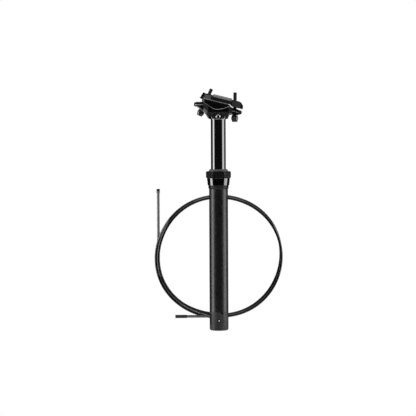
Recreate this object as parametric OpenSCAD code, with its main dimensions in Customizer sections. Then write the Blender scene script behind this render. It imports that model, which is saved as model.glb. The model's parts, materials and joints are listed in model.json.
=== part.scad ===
// Dropper seatpost with a two-bolt saddle clamp, a gas cartridge and a cable actuator.
// Millimetres. +Z runs up the post and +X is the front of the bicycle.
// The origin is on the post's axis, at the underside of the collar.

/* [Outer tube] */
// Outer diameter of the tube that goes into the frame
tube_od = 27.2; // [27:0.1:28.6]
// Wall of the outer tube
tube_wall = 1.4; // [1.3:0.05:1.5]
// Length of the outer tube below the collar
tube_len = 177.3; // [175:0.5:220]
// Height of the thinner neck that the collar screws onto
neck_len = 13; // [11:0.5:14]
// How much thinner the neck is than the tube, on the radius
neck_step = 0.5; // [0.4:0.05:0.6]

/* [Stanchion] */
// Outer diameter of the stanchion
stanchion_od = 21.6; // [21.2:0.1:21.8]
// Wall of the stanchion
stanchion_wall = 1.8; // [1.6:0.1:2]
// Travel of the saddle
travel = 70; // [60:1:75]
// Height left between the seal and the crown at the bottom of the travel
drop_gap = 1.3; // [1.3:0.1:3]
// Length of stanchion below the collar when the saddle is up
engaged = 72; // [70:1:78]
// Radius of the three anti-twist keys
key_r = 1.3; // [1.1:0.05:1.4]
// Length of the keys
key_len = 10; // [8:0.5:10]
// Length of the upper bushing below the collar
bush_len = 38; // [34:1:40]
// Length of the lower bushing
low_bush_len = 9; // [7:0.5:10]

/* [Collar] */
// Height of the rolled ring at the foot of the collar
skirt_h = 4.9; // [4:0.1:6]
// Diameter of the rolled ring
skirt_od = 29.6; // [29.4:0.1:31]
// Height of the polished band
band_h = 10.9; // [10.5:0.1:14]
// Diameter of the polished band at its foot
band_od_low = 31; // [30.4:0.1:32]
// Diameter of the polished band at its top
band_od_high = 33.3; // [32.4:0.1:34]
// Height of the hexagonal seal nut
nut_h = 9.5; // [8.5:0.1:11]
// Width of the seal nut across its flats
nut_flats = 31.4; // [31.2:0.1:33]
// Diameter of the seal nut over its rounded corners
nut_od = 35.9; // [35:0.1:37]
// Height of the lip seal above the nut
seal_h = 3.1; // [2.6:0.1:4]
// Diameter of the lip seal where it rests on the nut
seal_od = 27.6; // [26.4:0.1:28.4]
// Diameter of the lip seal at its top
seal_od_top = 25.2; // [24.4:0.1:26]

/* [Head] */
// Height of the tilt axis over the foot of the crown
tilt_h = 29.3; // [29.1:0.1:30]
// Forward tilt of the saddle clamp as it stands
clamp_tilt = 14; // [13.5:0.1:14.5]
// Radius of the round seat under the lower cradle
seat_r = 16; // [15.9:0.05:16.2]
// Radius of the crown
crown_r = 11.6; // [11.5:0.05:12.4]
// Depth of the stanchion's socket in the crown
socket_h = 10; // [9.4:0.1:10.4]
// Height of the cross pin over the foot of the crown
pin_h = 4.6; // [4.4:0.1:5.2]
// Radius of the cross pin
pin_r = 2.5; // [2:0.1:2.6]
// Reach of the rear wing from the axis
rear_reach = 35.2; // [34:0.2:36]
// Reach of the front wing from the axis
front_reach = 34; // [33.4:0.1:34.6]
// Half width of the wings
wing_half = 8.6; // [8:0.1:9.4]
// Half width of the seat block
block_half = 15.5; // [14.6:0.1:15.7]
// Diameter of the saddle rails
rail_d = 7; // [6.8:0.1:7.2]
// Distance between the saddle rails
rail_spacing = 44; // [43:0.5:45]
// Distance of the rear cross nut from the tilt axis, along the clamp
rear_nut_x = 14.9; // [14.6:0.1:15.2]
// Distance of the front cross nut from the tilt axis, along the clamp
front_nut_x = 25; // [24.8:0.1:25.4]
// Radius of the cross nuts
nut_r = 3.4; // [3.3:0.05:3.5]
// Radius of the clamp bolts
bolt_r = 2.5; // [2.4:0.05:2.6]
// Length of the clamp bolts above the centre of their dome washers
bolt_len = 33; // [31:0.5:36]
// Radius of the dome washers
dome_r = 5.5; // [5.3:0.05:5.7]
// Length of the clamp bolts' heads
bolt_head_len = 9.4; // [8:0.1:9.6]

/* [Cartridge] */
// Outer diameter of the gas cylinder
cyl_od = 16; // [15.4:0.1:16.6]
// Wall of the gas cylinder
cyl_wall = 1; // [0.9:0.05:1.2]
// Radius of the piston rod
rod_r = 3.5; // [3.3:0.05:3.7]
// Length of the piston
piston_len = 6; // [5:0.5:8]
// Radius of the valve pin
valve_r = 1.25; // [1.1:0.05:1.4]

/* [Actuator] */
// Height of the bottom cap below the outer tube
cap_len = 26.7; // [26.4:0.1:28]
// Angle by which the cap's window is turned from the rear towards the left side
window_turn = 27; // [20:1:34]
// Width of the window
window_w = 4.6; // [4.2:0.1:5]
// Length of the lever from its pin to its nose
nose_arm = 3.5; // [3.3:0.1:3.7]
// Length of the lever from its pin to the cable
cable_arm = 5.8; // [5.6:0.1:5.9]
// Swing of the lever
lever_swing = 25; // [20:1:26]
// Diameter of the gear housing, and of the stop that takes it
cord_d = 4; // [3.8:0.1:4.2]
// Depth of the housing stop
stop_depth = 6; // [5:0.5:6.5]

/* [Hidden] */
$fn = 72;
// Radial clearances: joints that stand still, fits that run, the bolts in their cross nuts
fit = 0.03;
run = 0.05;
thread_gap = 0.25;
// Gap between faces that meet at the end of a stroke
stop_gap = 0.3;

tube_r = tube_od / 2;
tube_ir = tube_r - tube_wall;
neck_r = tube_r - neck_step;
st_r = stanchion_od / 2;
st_ir = st_r - stanchion_wall;
cyl_r = cyl_od / 2;
cyl_ir = cyl_r - cyl_wall;
cord_r = cord_d / 2;

// Heights of the collar
z_band = skirt_h;
z_nut = z_band + band_h;
z_seal = z_nut + nut_h;
z_lip = z_seal + seal_h;
z_crown = z_lip + drop_gap + travel;
flange_h = 1.5;
flange_r = neck_r - 0.2;
spigot_h = 5.7;
spigot_r = nut_flats / 2 - 1.4;
plate_h = nut_h - spigot_h - 0.1;
z_plate = z_seal - plate_h;
seal_body_r = 12.75;
foam_h = 3;
z_foam = neck_len + flange_h + 0.1;
ring_section = (neck_r - st_r - 0.1) / 2;
z_ring = z_foam + foam_h + ring_section + 0.05;

// Heights of the stanchion's lower end
z_foot = -engaged;
guide_h = 3.5;
z_keys = z_foot + 6;
z_low_bush = z_keys + key_len + 1;
z_bumper = z_low_bush + low_bush_len;
key_c = (st_r + tube_ir) / 2;

// Heights of the cartridge
z_seam = -tube_len;
floor_h = 3;
z_floor = z_seam - floor_h / 2;
z_cyl = z_seam + floor_h / 2;
plug_drop = 2;
z_cyl_top = z_crown - plug_drop - travel - 3.7;
head_len = 8;
z_piston = z_cyl_top - head_len - 2 - piston_len;
valve_body_len = 10;
z_poppet = z_cyl + valve_body_len;
poppet_h = 2;
poppet_r = 3;
spring_len = 6;
z_cage = z_poppet + poppet_h + spring_len;
z_float = z_piston - travel - 58;
float_len = 8;
spigot_len = 7;
rod_in_plug = 3.3;

// Actuator lever
lever_x = -nose_arm;
lever_z = z_seam - 8.7;
lever_rest = lever_swing / 2;
nose_r = 1.8;
z_nose = lever_z - nose_arm * sin(lever_rest);
z_valve = z_nose + nose_r + 0.06;
cable_x = lever_x - cable_arm * cos(lever_rest);
cable_z = lever_z + cable_arm * sin(lever_rest);
barrel_r = 1.9;
barrel_half = 3.2;
lever_pin_r = 1.5;
z_cap = z_seam - cap_len;
cavity_half = 3.6;
cavity_x = tube_r - 1.6;
cavity_front = 3.6;
z_cavity = z_cap + stop_depth + 1.5;
z_screw = z_seam - 12.2;
screw_r = 1.5;

// Head: the tilt axis, the nuts and the centres of the dome washers, as [x, z]
z_tilt = z_crown + tilt_h;
function clamp_point(x, z) = [
    x * cos(clamp_tilt) + z * sin(clamp_tilt),
    z_tilt - x * sin(clamp_tilt) + z * cos(clamp_tilt)];
nut_drop = -0.5;
rear_nut_at = clamp_point(-rear_nut_x, nut_drop);
front_nut_at = clamp_point(front_nut_x, nut_drop);
rear_dome_at = [12 - rear_reach, z_crown + 13.9];
front_dome_at = [front_reach - 10.2, z_crown + 5.7];
function lean(low, high) = atan2(high[0] - low[0], high[1] - low[1]);
rear_lean = lean(rear_dome_at, rear_nut_at);
front_lean = lean(front_dome_at, front_nut_at);
dome_base = 0.5;

// Clamp: levels in the clamp's own frame, with its origin on the tilt axis
bar_rear_top = 3.7;
bar_rear_low = -5.4;
bar_front_top = 3.8;
bar_front_low = -6;
part_z = -4;
cradle_top = part_z - 0.4;
jaw_bottom = part_z + 0.4;
jaw_rear = -8;
jaw_front = 19;
jaw_top = 5.3;
flange_half_in = block_half + 0.6;
flange_half_out = rail_spacing / 2 + rail_d / 2 + 1.5;
boss_half = 9.5;
lip_half = 11;
rail_y = rail_spacing / 2;
rail_r = rail_d / 2;

// Housings: loops behind the post, in layers one behind another
loop_x = 0;
loop_z = -99;
cord_gap = 0.85;
layer_step = cord_d + 0.7;
layer_y = [tube_r + cord_gap + cord_r, tube_r + cord_gap + cord_r + layer_step,
    tube_r + cord_gap + cord_r + 2 * layer_step];
loop_rings = 24;
ferrule_r = cord_r + 0.4;

// Housing A: from its upper end at the left, down and round one and a quarter turns
a_from = 180;
a_to = 626;
a_mean = 86.6;
a_grow = 3.6;
// Housing B: from its end at the lower left, along the bottom and round almost one turn
b_from = 270;
b_to = 622;
b_mean = 88.7;
b_grow = -2;
// Radius of each loop at an angle, an oval that grows or shrinks a little on each turn
function a_radius(a) = a_mean + a_grow * (a - a_from) / 360
    + 0.6 * cos(a) + 0.1 * sin(a) + 1.4 * cos(2 * a) + 0.7 * sin(2 * a)
    - 0.2 * cos(3 * a) - 0.2 * cos(4 * a) + 0.4 * sin(4 * a);
function b_radius(a) = b_mean + b_grow * (a - b_from) / 360
    + 1.2 * cos(a) - 0.5 * sin(a) + 1.6 * cos(2 * a) + 0.1 * sin(2 * a)
    - 0.4 * sin(3 * a) - 0.2 * cos(4 * a) + 0.4 * sin(4 * a) - 0.8 * smooth((a - 560) / 60);
function smooth(t) = t <= 0 ? 0 : t >= 1 ? 1 : t * t * (3 - 2 * t);
function a_depth(a) = layer_y[2] - layer_step * smooth((a - 300) / 100);
function b_depth(a) = layer_y[0] + 0.7 * layer_step * smooth((a - 592) / 30);
function on_loop(a, r, y) = [loop_x + r * cos(a), y, loop_z + r * sin(a)];
function a_at(a) = on_loop(a, a_radius(a), a_depth(a));
function b_at(a) = on_loop(a, b_radius(a), b_depth(a));

a_top = [a_at(a_from)[0], layer_y[2], -7];
b_tip = [-46.6, layer_y[0], b_at(b_from)[2]];
ferrule_a_len = 6;
ferrule_b_len = 16.8;
ferrule_end_len = 10;
function steps(from, to) = ceil((to - from) / (360 / loop_rings));
function turn(from, to, i) = from + (to - from) * i / steps(from, to);
// Straight run of one diameter, the loops, and a straight run of one diameter again
a_end = a_at(a_to);
b_end = b_at(b_to);
a_path = concat(
    [a_at(a_from) + [0, 0, cord_d]],
    [for (i = [0:steps(a_from, a_to)]) a_at(turn(a_from, a_to, i))],
    [a_end + [cord_d, 0, 0]]);
b_path = concat(
    [b_at(b_from) - [cord_d, 0, 0]],
    [for (i = [0:steps(b_from, b_to)]) b_at(turn(b_from, b_to, i))],
    [b_end + [cord_d, 0, 0]]);
a_lead = [a_top, [a_top[0], a_top[1], -50], a_path[0]];
b_lead = [b_tip, [-25, b_tip[1], b_tip[2]], b_path[0]];

// Tube swept along a path that lies nearly upright, with the Y axis as its guide
function unit(v) = v / norm(v);
function heading(p, i) = unit(p[min(i + 1, len(p) - 1)] - p[max(i - 1, 0)]);
function end_heading(p, i) = i == 0 ? unit(p[1] - p[0])
    : i == len(p) - 1 ? unit(p[i] - p[i - 1]) : heading(p, i);
function ring(p, i, r, n) =
    let (t = end_heading(p, i), u = unit(cross(t, [0, 1, 0])), v = cross(u, t))
    [for (k = [0.5:n]) p[i] + r * (cos(360 * k / n) * u + sin(360 * k / n) * v)];
module sweep(p, r, n) {
    m = len(p);
    points = [for (i = [0:m - 1]) each ring(p, i, r, n)];
    side = [for (i = [0:m - 2]) for (k = [0:n - 1])
        let (a = i * n + k, b = i * n + (k + 1) % n)
        each [[a, b, b + n], [a, b + n, a + n]]];
    caps = [for (k = [1:n - 2]) each
        [[0, k + 1, k], [(m - 1) * n, (m - 1) * n + k, (m - 1) * n + k + 1]]];
    polyhedron(points, concat(side, caps), convexity = 6);
}
function path_len(p, i = 0) = i >= len(p) - 1 ? 0 : norm(p[i + 1] - p[i]) + path_len(p, i + 1);
// Least distance between two paths, or between parts of one path at least "skip" points apart
function path_gap(p, q, skip = -1) = min([for (i = [0:len(p) - 1]) for (j = [0:len(q) - 1])
    if (skip < 0 || j > i + skip) seg_gap(p, i, q[j])]);
function seg_gap(p, i, c) = i >= len(p) - 1 ? norm(p[i] - c)
    : let (d = p[i + 1] - p[i], t = max(0, min(1, (c - p[i]) * d / (d * d)))) norm(p[i] + t * d - c);
a_all = concat([a_top], a_path);
b_all = concat([b_tip], b_path);
echo(gap_a_itself = path_gap(a_path, a_path, 6) - cord_d);
echo(gap_b_itself = path_gap(b_path, b_path, 6) - cord_d);
echo(gap_a_b = min(path_gap(a_all, b_all), path_gap(b_all, a_all)) - cord_d);
echo(gap_b_lead = path_gap(b_lead, [for (i = [8:len(b_path) - 1]) b_path[i]]) - cord_d);
echo(length_a = path_len(a_all) + ferrule_a_len, length_b = path_len(b_all) + ferrule_b_len);
echo(rear_dome = rear_dome_at, rear_nut = rear_nut_at, rear_lean = rear_lean);
echo(front_dome = front_dome_at, front_nut = front_nut_at, front_lean = front_lean);

// Building blocks
module ring_solid(ro, ri, z0, z1) {
    difference() {
        translate([0, 0, z0]) cylinder(r = ro, h = z1 - z0);
        translate([0, 0, z0 - 1]) cylinder(r = ri, h = z1 - z0 + 2);
    }
}
module along_y(r, half) {
    rotate([90, 0, 0]) cylinder(r = r, h = 2 * half, center = true);
}
// An XZ outline drawn out along Y, from y0 to y1
module slab(y0, y1) {
    translate([0, y1, 0]) rotate([90, 0, 0]) linear_extrude(height = y1 - y0) children();
}
module at_bolt(dome, angle) {
    translate([dome[0], 0, dome[1]]) rotate([0, angle, 0]) children();
}
module in_clamp() {
    translate([0, 0, z_tilt]) rotate([0, clamp_tilt, 0]) children();
}
module in_actuator() {
    rotate([0, 0, window_turn]) children();
}
module three_round() {
    for (a = [90, 210, 330]) rotate([0, 0, a]) children();
}

// Outer tube, with its neck and three keyways
module outer_tube() {
    color("#26272a") difference() {
        union() {
            translate([0, 0, z_seam]) cylinder(r = tube_r, h = tube_len);
            cylinder(r = neck_r, h = neck_len);
        }
        translate([0, 0, z_seam - 1]) cylinder(r = tube_ir, h = tube_len + neck_len + 2);
        three_round() translate([key_c, 0, z_keys - travel - 1])
            cylinder(r = key_r + run, h = travel + key_len + 8);
    }
}

// Collar
module head_collar() {
    bead = skirt_h / 2;
    color("#101114") difference() {
        rotate_extrude() union() {
            polygon([[neck_r - 0.3, 0], [tube_r + 0.2, 0], [skirt_od / 2 - 0.6, 0.7],
                [skirt_od / 2, bead], [skirt_od / 2 - 0.6, skirt_h - 0.5], [band_od_low / 2 - 0.4, skirt_h],
                [band_od_low / 2, skirt_h + 0.4], [band_od_high / 2, z_nut - 0.3],
                [band_od_high / 2 - 0.3, z_nut], [neck_r - 0.3, z_nut]]);
            translate([neck_r - 0.3, z_nut - 1]) square([spigot_r - neck_r + 0.3, spigot_h + 1]);
        }
        translate([0, 0, -1]) cylinder(r = neck_r + fit, h = z_nut + spigot_h + 2);
    }
}
module seal_nut() {
    color("#1c1d1f") difference() {
        intersection() {
            translate([0, 0, z_nut]) cylinder(r = nut_flats / 2 / cos(30), h = nut_h, $fn = 6);
            rotate_extrude() polygon([[0, z_nut], [nut_od / 2 - 0.7, z_nut], [nut_od / 2, z_nut + 0.7],
                [nut_od / 2, z_seal - 0.9], [nut_od / 2 - 1.4, z_seal], [0, z_seal]]);
        }
        translate([0, 0, z_nut - 1]) cylinder(r = spigot_r + fit, h = spigot_h + 1.1);
        translate([0, 0, z_plate - 1]) cylinder(r = seal_body_r + fit, h = plate_h + 2);
    }
}
module wiper_seal() {
    color("#4a4b4d") difference() {
        rotate_extrude() polygon([[st_r - 0.5, z_plate + 0.1], [seal_body_r, z_plate + 0.1],
            [seal_body_r, z_seal], [seal_od / 2, z_seal], [seal_od / 2, z_seal + 0.8],
            [seal_od_top / 2 + 0.3, z_lip - 0.6], [seal_od_top / 2 - 0.4, z_lip], [st_r - 0.5, z_lip]]);
        translate([0, 0, z_plate - 1]) cylinder(r = st_r + run, h = z_lip - z_plate + 2);
        // Groove between the two lips
        translate([0, 0, z_seal]) ring_solid(st_r + 0.7, st_r - 1, 0, 1.4);
    }
}
module o_ring() {
    color("#141414") translate([0, 0, z_ring]) rotate_extrude()
        translate([st_r + run + ring_section, 0]) circle(r = ring_section, $fn = 32);
}
module foam_ring() {
    color("#5b5b52") ring_solid(neck_r - fit, st_r + run, z_foam, z_foam + foam_h);
}
module upper_bushing() {
    color("#d8d5c8") difference() {
        union() {
            translate([0, 0, -bush_len]) cylinder(r = tube_ir - fit, h = bush_len + neck_len + 0.5);
            translate([0, 0, neck_len]) cylinder(r = flange_r, h = flange_h);
        }
        translate([0, 0, -bush_len - 1]) cylinder(r = st_r + run, h = bush_len + neck_len + flange_h + 2);
        // Split that lets the bushing spring into the tube
        translate([tube_ir, 0, 0]) cube([6, 0.8, 3 * (bush_len + neck_len)], center = true);
    }
}

// Stanchion and what it carries at its lower end
module stanchion_tube() {
    color("#0b0b0d") difference() {
        ring_solid(st_r, st_ir, z_foot, z_crown + socket_h - 0.5);
        three_round() translate([key_c, 0, z_keys - 0.1]) cylinder(r = key_r + fit, h = key_len + 0.2);
        translate([0, 0, z_crown + pin_h]) along_y(pin_r + fit, st_r + 2);
    }
}
module keys() {
    color("#b58a3a") three_round() translate([key_c, 0, z_keys]) cylinder(r = key_r, h = key_len);
}
module lower_bushing() {
    color("#d8d5c8") ring_solid(tube_ir - run, st_r + fit, z_low_bush, z_low_bush + low_bush_len);
}
module guide_ring() {
    color("#33343a") ring_solid(tube_ir - run, st_r + fit, z_foot + 0.5, z_foot + 0.5 + guide_h);
}
module top_out_bumper() {
    color("#2a2a2a") ring_solid(tube_ir - 0.2, st_r + fit, z_bumper, -bush_len - stop_gap);
}

// Head yoke: side outline, from the rear wing over the seat to the front wing and the feet
rear_tip_r = 3.4;
front_tip_r = 3.1;
rear_tip_h = 21.9;
front_tip_h = 9.9;
module yoke_side() {
    rear_x = -rear_reach + rear_tip_r;
    front_x = front_reach - front_tip_r;
    front_low = front_tip_h - front_tip_r;
    translate([rear_x, rear_tip_h]) circle(r = rear_tip_r);
    translate([front_x, front_tip_h]) circle(r = front_tip_r);
    difference() {
        polygon([[rear_x, rear_tip_h + rear_tip_r], [-12, rear_tip_h + rear_tip_r + 0.1],
            [0, tilt_h - seat_r + 2], [12.4, 19.9], [15.4, 19.9], [19.4, 17.2], [27, 14.7],
            [front_x, front_tip_h + front_tip_r], [front_x, front_low], [21.1, front_low], [21.1, 1],
            [-30.9, 1], [-30.9, rear_tip_h - rear_tip_r], [rear_x, rear_tip_h - rear_tip_r]]);
        // Rear arch, from the wing down to the foot
        translate([-45.6, -12.5]) circle(r = 34.7, $fn = 180);
        // Front arch
        intersection() {
            translate([21.1, 1.9]) circle(r = 6.9);
            translate([12, -6]) square([12, 6 + front_low]);
        }
    }
}
// Outline from above: a wide seat block and two narrow wings with round ends
module yoke_plan() {
    rear_c = -rear_reach + wing_half;
    front_c = front_reach - wing_half;
    translate([rear_c, 0]) circle(r = wing_half);
    translate([front_c, 0]) circle(r = wing_half);
    polygon([[rear_c, wing_half], [-21, wing_half], [-14.5, block_half], [14.5, block_half],
        [20, wing_half], [front_c, wing_half], [front_c, -wing_half], [20, -wing_half],
        [14.5, -block_half], [-14.5, -block_half], [-21, -wing_half], [rear_c, -wing_half]]);
}
// Outline from the front: wide at the seat, drawn in to a rib at the feet
module yoke_front() {
    polygon([[-6.5, 0], [-6.5, 3.4], [-block_half, 11], [-block_half, 30],
        [block_half, 30], [block_half, 11], [6.5, 3.4], [6.5, 0]]);
}
module dome_recess() {
    sphere(r = dome_r + run);
    translate([0, 0, -bolt_head_len]) cylinder(r = dome_r + 0.5, h = bolt_head_len + dome_base);
    cylinder(r = bolt_r + 0.7, h = 16);
}
module head_yoke() {
    reach = rear_reach + front_reach;
    color("#131315") difference() {
        union() {
            translate([0, 0, z_crown]) rotate_extrude() polygon([[0, 0], [crown_r - 0.4, 0],
                [crown_r, 0.4], [crown_r, 7.5], [crown_r + 1.6, 12], [0, 12]]);
            translate([0, 0, z_crown]) intersection() {
                slab(-block_half, block_half) yoke_side();
                linear_extrude(height = 30) yoke_plan();
                translate([-reach / 2, 0, 0]) rotate([90, 0, 90]) linear_extrude(height = reach + 1)
                    yoke_front();
            }
        }
        // Round seat of the cradle
        translate([0, 0, z_tilt]) along_y(seat_r + run, block_half + 1);
        // Socket of the stanchion, and the hole of the cross pin with its sunk mouth
        translate([0, 0, z_crown - 1]) cylinder(r = st_r + fit, h = socket_h + 1);
        translate([0, 0, z_crown + pin_h]) along_y(pin_r + fit, crown_r + 3);
        for (s = [-1, 1]) translate([0, s * (crown_r - 0.7), z_crown + pin_h])
            rotate([-90 * s, 0, 0]) cylinder(r = pin_r + 1.3, h = 8);
        at_bolt(rear_dome_at, rear_lean) dome_recess();
        at_bolt(front_dome_at, front_lean) dome_recess();
        // Long grooves in the sides of the wings
        for (s = [-1, 1]) {
            side_groove(s, -rear_reach + 3.6, -20.5, rear_tip_h, 0);
            side_groove(s, 19, front_reach - 3.6, front_tip_h + 3.3, 20);
        }
    }
}
// A groove 1.6 mm high with round ends in one side of a wing, from x0 to x1 at height h
module side_groove(s, x0, x1, h, slope) {
    translate([x0, s * wing_half, z_crown + h]) rotate([0, slope, 0]) {
        along_y(0.8, 0.9);
        translate([x1 - x0, 0, 0]) along_y(0.8, 0.9);
        translate([0, -0.9, -0.8]) cube([x1 - x0, 1.8, 1.6]);
    }
}
module cross_pin() {
    color("#c9cbcd") translate([0, 0, z_crown + pin_h]) difference() {
        union() {
            along_y(pin_r, crown_r + 0.2);
            for (s = [-1, 1]) translate([0, s * (crown_r - 0.65), 0])
                rotate([-90 * s, 0, 0]) cylinder(r1 = pin_r + 1.2, r2 = pin_r + 0.8, h = 0.9);
        }
        along_y(pin_r - 1.1, crown_r + 2);
    }
}

// Gas cartridge
module rod_plug() {
    color("#8d9094") difference() {
        translate([0, 0, z_crown - plug_drop]) cylinder(r = st_ir - fit, h = plug_drop + socket_h - 0.5);
        translate([0, 0, z_crown - plug_drop - 1]) cylinder(r = rod_r + fit, h = rod_in_plug + 1);
        translate([0, 0, z_crown + pin_h]) along_y(pin_r + fit, st_r);
    }
}
module gas_rod() {
    color("#c9cbcd") translate([0, 0, z_piston + piston_len])
        cylinder(r = rod_r, h = z_crown - plug_drop + rod_in_plug - z_piston - piston_len);
}
module piston() {
    color("#9a9da1") difference() {
        translate([0, 0, z_piston]) cylinder(r = cyl_ir - run, h = piston_len);
        translate([0, 0, z_piston + piston_len / 2]) ring_solid(cyl_ir + 1, cyl_ir - 1, -0.8, 0.8);
    }
}
module gas_cylinder() {
    color("#3a3d42") ring_solid(cyl_r, cyl_ir, z_cyl, z_cyl_top);
}
module cylinder_head() {
    color("#9a9da1") ring_solid(cyl_ir - fit, rod_r + run, z_cyl_top - head_len, z_cyl_top);
}
module floating_piston() {
    color("#b9bcbf") difference() {
        translate([0, 0, z_float]) cylinder(r = cyl_ir - run, h = float_len);
        translate([0, 0, z_float + float_len / 2]) ring_solid(cyl_ir + 1, cyl_ir - 1, -0.8, 0.8);
        translate([0, 0, z_float - 1]) cylinder(r = cyl_ir - 2, h = 4);
    }
}
module valve_body() {
    color("#9a9da1") {
        ring_solid(cyl_ir - fit, valve_r + run, z_cyl, z_poppet);
        ring_solid(cyl_ir - fit, poppet_r + 1.2, z_poppet - 1, z_cage);
    }
}
module spring_cap() {
    color("#b9bcbf") difference() {
        ring_solid(cyl_ir - fit, 1, z_cage, z_cage + 1.5);
        for (a = [0:60:300]) rotate([0, 0, a]) translate([poppet_r, 0, z_cage - 1]) cylinder(r = 0.7, h = 4);
    }
}
spring_r = 2.3;
spring_wire = 0.3;
spring_turns = 5;
spring_path = [for (i = [0:8 * spring_turns]) let (a = 45 * i)
    [spring_r * cos(a), spring_r * sin(a), z_poppet + poppet_h + spring_wire
        + (spring_len - 2 * spring_wire) * i / (8 * spring_turns)]];
module valve_spring() {
    color("#c9cbcd") spring_sweep(spring_path, spring_wire, 6);
}
// Tube round an upright helix, with the Z axis as its guide
function helix_ring(p, i, r, n) =
    let (t = end_heading(p, i), u = unit(cross(t, [0, 0, 1])), v = cross(u, t))
    [for (k = [0:n - 1]) p[i] + r * (cos(360 * k / n) * u + sin(360 * k / n) * v)];
module spring_sweep(p, r, n) {
    m = len(p);
    points = [for (i = [0:m - 1]) each helix_ring(p, i, r, n)];
    side = [for (i = [0:m - 2]) for (k = [0:n - 1])
        let (a = i * n + k, b = i * n + (k + 1) % n)
        each [[a, b, b + n], [a, b + n, a + n]]];
    caps = [for (k = [1:n - 2]) each
        [[0, k + 1, k], [(m - 1) * n, (m - 1) * n + k, (m - 1) * n + k + 1]]];
    polyhedron(points, concat(side, caps), convexity = 6);
}
module valve_pin() {
    color("#b58a3a") union() {
        translate([0, 0, z_valve]) cylinder(r = valve_r, h = z_poppet - z_valve + 1);
        translate([0, 0, z_poppet]) cylinder(r = poppet_r, h = poppet_h);
    }
}

// Bottom cap and actuator
module actuator_cap() {
    color("#303134") difference() {
        union() {
            rotate_extrude() polygon([[0, z_cap], [tube_r - 1.6, z_cap], [tube_r - 0.4, z_cap + 0.9],
                [tube_r, z_cap + 2.2], [tube_r, z_seam], [0, z_seam]]);
            translate([0, 0, z_seam - 1]) cylinder(r = tube_ir - fit, h = spigot_len + 1);
        }
        translate([0, 0, z_cyl]) cylinder(r = cyl_r + fit, h = spigot_len + 1);
        translate([0, 0, z_floor - 1]) cylinder(r = valve_r + 0.6, h = floor_h + 2);
        in_actuator() {
            // Room of the lever, and the window in the wall
            translate([-cavity_x, -cavity_half, z_cavity])
                cube([cavity_x + cavity_front, 2 * cavity_half, z_floor - z_cavity]);
            translate([-tube_r - 1, -window_w / 2, z_cavity + window_w / 2])
                cube([tube_r, window_w, z_floor - z_cavity - window_w]);
            for (z = [z_cavity + window_w / 2, z_floor - window_w / 2])
                translate([-tube_r - 1, 0, z]) rotate([0, 90, 0]) cylinder(r = window_w / 2, h = tube_r);
            // Hole of the lever pin, drilled from one side
            translate([lever_x, 14, lever_z]) rotate([90, 0, 0]) cylinder(r = lever_pin_r + fit, h = 23);
            // Stop for the gear housing, and the way of the cable above it
            translate([cable_x, 0, z_cap - 1]) cylinder(r = cord_r + 0.1, h = stop_depth + 1);
            translate([cable_x, 0, z_cap]) cylinder(r = 0.9, h = stop_depth + 3);
        }
        // Hole of the set screw, with its sunk mouth, and a locking notch at the seam
        translate([0, 0, z_screw]) rotate([90, 0, 0]) cylinder(r = screw_r + fit, h = tube_r + 1);
        translate([0, -tube_r + 0.6, z_screw]) rotate([90, 0, 0]) cylinder(r = screw_r + 0.9, h = 3);
        rotate([0, 0, -73]) translate([tube_r, 0, z_seam - 1.6]) rotate([25, 0, 0])
            cube([1.6, 1.3, 3.4], center = true);
    }
}
module set_screw() {
    color("#c9cbcd") difference() {
        translate([0, -8.4, z_screw]) rotate([90, 0, 0]) cylinder(r = screw_r, h = tube_r - 9.2);
        translate([0, -tube_r + 1.8, z_screw]) rotate([90, 0, 0]) cylinder(r = 0.75, h = 3, $fn = 6);
    }
}
module lever_pin() {
    color("#c9cbcd") in_actuator() translate([lever_x, 11, lever_z]) rotate([90, 0, 0])
        cylinder(r = lever_pin_r, h = 19.5);
}
// The lever, drawn with its pin at the origin and turned to its rest position
lever_half = 2.6;
hub_r = 2.4;
cheek_r = barrel_r + 0.5;
module actuator_lever() {
    color("#b9bcbf") in_actuator() translate([lever_x, 0, lever_z]) rotate([0, lever_rest, 0])
        difference() {
            union() {
                along_y(hub_r, lever_half);
                translate([nose_arm, 0, 0]) along_y(nose_r, lever_half);
                translate([-cable_arm, 0, 0]) along_y(cheek_r, lever_half);
                translate([0, -lever_half, -nose_r + 0.6]) cube([nose_arm, 2 * lever_half, 2 * nose_r - 1.2]);
                translate([-cable_arm, -lever_half, -cheek_r + 0.3])
                    cube([cable_arm, 2 * lever_half, 2 * cheek_r - 0.6]);
            }
            along_y(lever_pin_r + run, 4);
            translate([-cable_arm, 0, 0]) along_y(barrel_r + run, 4);
            // Slot of the cable, between the two cheeks
            translate([-cable_arm - 4, -0.8, -5]) cube([6.4, 1.6, 10]);
        }
}
module cable_barrel() {
    color("#c9cbcd") in_actuator() translate([cable_x, 0, cable_z]) difference() {
        along_y(barrel_r, barrel_half);
        translate([0, 0, -4]) cylinder(r = 0.65, h = 8);
        rotate([90, 0, 0]) cylinder(r = 1 + fit, h = barrel_half + 1);
    }
}
module cable_screw() {
    color("#2a2a2a") in_actuator() translate([cable_x, -barrel_half, cable_z]) rotate([-90, 0, 0])
        difference() {
            cylinder(r = 1, h = barrel_half - 0.8);
            translate([0, 0, -1]) cylinder(r = 0.5, h = 2.2, $fn = 6);
        }
}

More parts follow.
